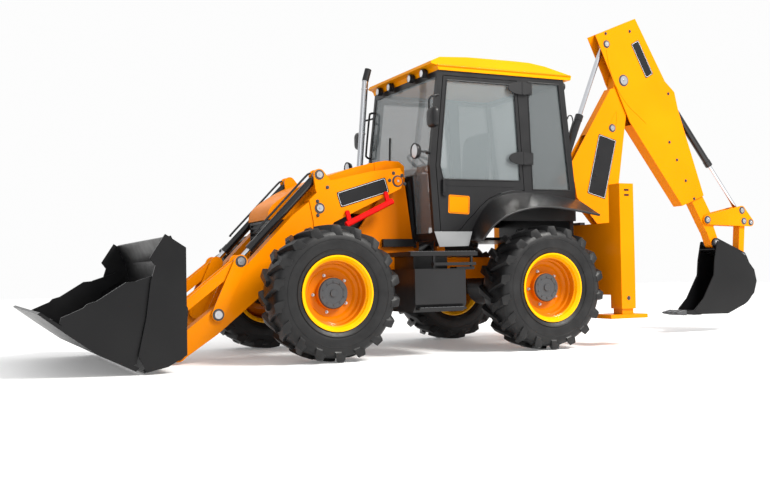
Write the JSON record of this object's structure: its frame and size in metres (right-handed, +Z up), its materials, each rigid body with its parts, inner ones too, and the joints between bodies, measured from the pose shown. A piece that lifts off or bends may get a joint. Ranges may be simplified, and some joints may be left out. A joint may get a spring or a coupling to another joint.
{
  "type": "backhoe loader",
  "caption": "Four-wheel backhoe loader with clamshell shovel, glazed cab, drop stabilisers and a folded side-shift rear arm with extending dipper and digging bucket.",
  "frame": {"origin": "on the ground, at the middle of the machine's length and width", "axes": "+X forward towards the shovel, +Y to the machine's left, +Z up"},
  "size_m": [8.323, 2.36, 3.6073],
  "materials": {
    "tyre": "matt moulded rubber",
    "rim": "gloss yellow enamel",
    "body_yellow": "gloss yellow-orange enamel",
    "chassis_orange": "gloss orange enamel",
    "bucket_grey": "satin charcoal enamel",
    "frame_black": "satin black enamel",
    "ram_black": "gloss black enamel",
    "cab_grey": "satin dark grey enamel",
    "chrome": "hard chrome",
    "glass": "tinted safety glass",
    "strut_red": "gloss red enamel"
  },
  "bodies": {
    "root": {"chassis": "chassis_orange", "engine": "frame_black", "grille": "frame_black", "exhaust": "chrome", "rear_cowl": "body_yellow", "front_axle": "frame_black", "rear_axle": "frame_black", "cab_frame": "cab_grey", "cab_roof": "body_yellow", "cab_glass": "glass", "seat": "frame_black", "console": "frame_black", "rear_fenders": "cab_grey", "side_tanks": "cab_grey", "rear_frame": "body_yellow", "lamps": "frame_black", "mirrors": "frame_black"},
    "bonnet_lid": {"bonnet": "body_yellow"},
    "door_left": {"door_left": "cab_grey", "door_left_glass": "glass"},
    "door_right": {"door_right": "cab_grey", "door_right_glass": "glass"},
    "arms": {"loader_arms": "body_yellow", "safety_strut": "strut_red"},
    "lift_barrels": {"lift_ram_barrels": "ram_black"},
    "lift_rods": {"lift_ram_rods": "chrome"},
    "tilt_barrels": {"tilt_ram_barrels": "ram_black"},
    "tilt_rods": {"tilt_ram_rods": "chrome"},
    "cranks": {"tilt_cranks": "body_yellow"},
    "links": {"tilt_links": "body_yellow"},
    "shovel": {"shovel_blade": "bucket_grey"},
    "clam": {"shovel_clam": "bucket_grey"},
    "stabiliser_left": {"stabiliser_left": "body_yellow"},
    "stabiliser_right": {"stabiliser_right": "body_yellow"},
    "carriage": {"side_shift_carriage": "frame_black"},
    "kingpost": {"kingpost": "chassis_orange"},
    "boom": {"boom": "body_yellow"},
    "boom_barrel": {"boom_ram_barrel": "ram_black"},
    "boom_rod": {"boom_ram_rod": "chrome"},
    "dipper": {"dipper": "body_yellow"},
    "dipper_barrel": {"dipper_ram_barrel": "ram_black"},
    "dipper_rod": {"dipper_ram_rod": "chrome"},
    "inner_dipper": {"inner_dipper": "body_yellow"},
    "bucket_barrel": {"bucket_ram_barrel": "ram_black"},
    "bucket_rod": {"bucket_ram_rod": "chrome"},
    "lever": {"tipping_lever": "body_yellow"},
    "link": {"tipping_link": "body_yellow"},
    "bucket": {"backhoe_bucket": "bucket_grey"},
    "knuckle_front_left": {"knuckle_front_left": "frame_black"},
    "wheel_front_left": {"rim_front_left": "rim", "tyre_front_left": "tyre"},
    "knuckle_front_right": {"knuckle_front_right": "frame_black"},
    "wheel_front_right": {"rim_front_right": "rim", "tyre_front_right": "tyre"},
    "knuckle_rear_left": {"knuckle_rear_left": "frame_black"},
    "wheel_rear_left": {"rim_rear_left": "rim", "tyre_rear_left": "tyre"},
    "knuckle_rear_right": {"knuckle_rear_right": "frame_black"},
    "wheel_rear_right": {"rim_rear_right": "rim", "tyre_rear_right": "tyre"}
  },
  "joints": [
    {"name": "steer_front_left", "type": "hinge", "parent": "root", "child": "knuckle_front_left", "pos_m": [1.748, 0.8, 0.593], "axis": [0, 0, 1], "range_deg": [-25, 25]},
    {"name": "spin_front_left", "type": "hinge", "parent": "knuckle_front_left", "child": "wheel_front_left", "pos_m": [1.748, 0.957, 0.593], "axis": [0, 1, 0], "continuous": true},
    {"name": "steer_front_right", "type": "hinge", "parent": "root", "child": "knuckle_front_right", "pos_m": [1.748, -0.8, 0.593], "axis": [0, 0, 1], "range_deg": [-25, 25]},
    {"name": "spin_front_right", "type": "hinge", "parent": "knuckle_front_right", "child": "wheel_front_right", "pos_m": [1.748, -0.957, 0.593], "axis": [0, 1, 0], "continuous": true},
    {"name": "steer_rear_left", "type": "hinge", "parent": "root", "child": "knuckle_rear_left", "pos_m": [-0.452, 0.8, 0.593], "axis": [0, 0, 1], "range_deg": [-20, 20]},
    {"name": "spin_rear_left", "type": "hinge", "parent": "knuckle_rear_left", "child": "wheel_rear_left", "pos_m": [-0.452, 0.957, 0.593], "axis": [0, 1, 0], "continuous": true},
    {"name": "steer_rear_right", "type": "hinge", "parent": "root", "child": "knuckle_rear_right", "pos_m": [-0.452, -0.8, 0.593], "axis": [0, 0, 1], "range_deg": [-20, 20]},
    {"name": "spin_rear_right", "type": "hinge", "parent": "knuckle_rear_right", "child": "wheel_rear_right", "pos_m": [-0.452, -0.957, 0.593], "axis": [0, 1, 0], "continuous": true},
    {"name": "door_left", "type": "hinge", "parent": "root", "child": "door_left", "pos_m": [-0.422, 0.737, 1.865], "axis": [0, 0, 1], "range_deg": [0, 65]},
    {"name": "door_right", "type": "hinge", "parent": "root", "child": "door_right", "pos_m": [-0.422, -0.737, 1.865], "axis": [0, 0, -1], "range_deg": [0, 65]},
    {"name": "bonnet_lift", "type": "hinge", "parent": "root", "child": "bonnet_lid", "pos_m": [0.9982, 0, 1.828], "axis": [0, -1, 0], "range_deg": [0, 50]},
    {"name": "loader_lift", "type": "hinge", "parent": "root", "child": "arms", "pos_m": [0.836, 0, 1.634], "axis": [0, -1, 0], "range_deg": [0, 70]},
    {"name": "lift_ram_swing", "type": "hinge", "parent": "root", "child": "lift_barrels", "pos_m": [0.948, 0, 0.64], "axis": [0, -1, 0], "range_deg": [-1, 30]},
    {"name": "lift_ram_slide", "type": "slide", "parent": "lift_barrels", "child": "lift_rods", "axis": [0.6889, 0, 0.7248], "range_m": [-0.01, 0.77]},
    {"name": "shovel_tilt", "type": "hinge", "parent": "arms", "child": "shovel", "pos_m": [2.963, 0, 0.097], "axis": [0, 1, 0], "range_deg": [0, 95]},
    {"name": "crank_swing", "type": "hinge", "parent": "arms", "child": "cranks", "pos_m": [2.609, 0, 0.42], "axis": [0, 1, 0], "range_deg": [-1, 88]},
    {"name": "link_swing", "type": "hinge", "parent": "cranks", "child": "links", "pos_m": [2.398, 0, 0.885], "axis": [0, 1, 0], "range_deg": [-62, 1]},
    {"name": "tilt_ram_swing", "type": "hinge", "parent": "arms", "child": "tilt_barrels", "pos_m": [1.636, 0, 1.675], "axis": [0, 1, 0], "range_deg": [-14, 1]},
    {"name": "tilt_ram_slide", "type": "slide", "parent": "tilt_barrels", "child": "tilt_rods", "axis": [0.6942, 0, -0.7197], "range_m": [-0.01, 0.62]},
    {"name": "clam_open", "type": "hinge", "parent": "shovel", "child": "clam", "pos_m": [3.193, 0, 0.76], "axis": [0, -1, 0], "range_deg": [0, 55]},
    {"name": "stabiliser_left_slide", "type": "slide", "parent": "root", "child": "stabiliser_left", "axis": [0, 0, -1], "range_m": [0, 0.5]},
    {"name": "stabiliser_right_slide", "type": "slide", "parent": "root", "child": "stabiliser_right", "axis": [0, 0, -1], "range_m": [0, 0.5]},
    {"name": "side_shift", "type": "slide", "parent": "root", "child": "carriage", "axis": [0, 1, 0], "range_m": [-0.55, 0.55]},
    {"name": "swing", "type": "hinge", "parent": "carriage", "child": "kingpost", "pos_m": [-1.812, 0, 0.9], "axis": [0, 0, 1], "range_deg": [-90, 90]},
    {"name": "boom_lower", "type": "hinge", "parent": "kingpost", "child": "boom", "pos_m": [-2.012, 0, 0.64], "axis": [0, -1, 0], "range_deg": [0, 110]},
    {"name": "boom_ram_swing", "type": "hinge", "parent": "kingpost", "child": "boom_barrel", "pos_m": [-1.937, 0, 1], "axis": [0, -1, 0], "range_deg": [-1, 122]},
    {"name": "boom_ram_slide", "type": "slide", "parent": "boom_barrel", "child": "boom_rod", "axis": [-0.0972, 0, 0.9953], "range_m": [-0.01, 0.6]},
    {"name": "dipper_open", "type": "hinge", "parent": "boom", "child": "dipper", "pos_m": [-2.229, 0, 2.886], "axis": [0, 1, 0], "range_deg": [0, 95]},
    {"name": "dipper_ram_swing", "type": "hinge", "parent": "boom", "child": "dipper_barrel", "pos_m": [-1.357, 0, 1.735], "axis": [0, 1, 0], "range_deg": [-8, 8]},
    {"name": "dipper_ram_slide", "type": "slide", "parent": "dipper_barrel", "child": "dipper_rod", "axis": [-0.3845, 0, 0.9231], "range_m": [-0.7, 0.01]},
    {"name": "dipper_extend", "type": "slide", "parent": "dipper", "child": "inner_dipper", "axis": [-0.512, 0, -0.859], "range_m": [0, 1]},
    {"name": "bucket_tip", "type": "hinge", "parent": "inner_dipper", "child": "bucket", "pos_m": [-3.547, 0, 1.045], "axis": [0, 1, 0], "range_deg": [-15, 85]},
    {"name": "lever_swing", "type": "hinge", "parent": "inner_dipper", "child": "lever", "pos_m": [-3.417, 0, 1.317], "axis": [0, 1, 0], "range_deg": [-13, 70]},
    {"name": "tipping_link_swing", "type": "hinge", "parent": "lever", "child": "link", "pos_m": [-3.997, 0, 1.305], "axis": [0, 1, 0], "range_deg": [-51, 10]},
    {"name": "bucket_ram_swing", "type": "hinge", "parent": "inner_dipper", "child": "bucket_barrel", "pos_m": [-2.888, 0, 2.775], "axis": [0, 1, 0], "range_deg": [-5, 5]},
    {"name": "bucket_ram_slide", "type": "slide", "parent": "bucket_barrel", "child": "bucket_rod", "axis": [-0.6276, 0, -0.7785], "range_m": [-0.64, 0.12]}
  ],
  "couplings": [
    {"joint": "steer_front_right", "follows": "steer_front_left", "ratio": 1},
    {"joint": "steer_rear_right", "follows": "steer_rear_left", "ratio": 1},
    {"joint": "lift_ram_swing", "follows": "loader_lift", "ratio": 0.4214},
    {"joint": "lift_ram_slide", "follows": "loader_lift", "m_per_rad": 0.5774},
    {"joint": "boom_ram_swing", "follows": "boom_lower", "ratio": 1.0494},
    {"joint": "boom_ram_slide", "follows": "boom_lower", "m_per_rad": 0.3036},
    {"joint": "dipper_ram_swing", "follows": "dipper_open", "ratio": -0.07},
    {"joint": "dipper_ram_slide", "follows": "dipper_open", "m_per_rad": -0.3952},
    {"joint": "crank_swing", "follows": "shovel_tilt", "ratio": 0.8534},
    {"joint": "link_swing", "follows": "shovel_tilt", "ratio": -0.5823},
    {"joint": "tilt_ram_swing", "follows": "shovel_tilt", "ratio": -0.1178},
    {"joint": "tilt_ram_slide", "follows": "shovel_tilt", "m_per_rad": 0.3666},
    {"joint": "lever_swing", "follows": "bucket_tip", "ratio": 0.8115},
    {"joint": "tipping_link_swing", "follows": "bucket_tip", "ratio": -0.5865},
    {"joint": "bucket_ram_swing", "follows": "bucket_tip", "ratio": -0.0521},
    {"joint": "bucket_ram_slide", "follows": "bucket_tip", "m_per_rad": -0.4248}
  ]
}
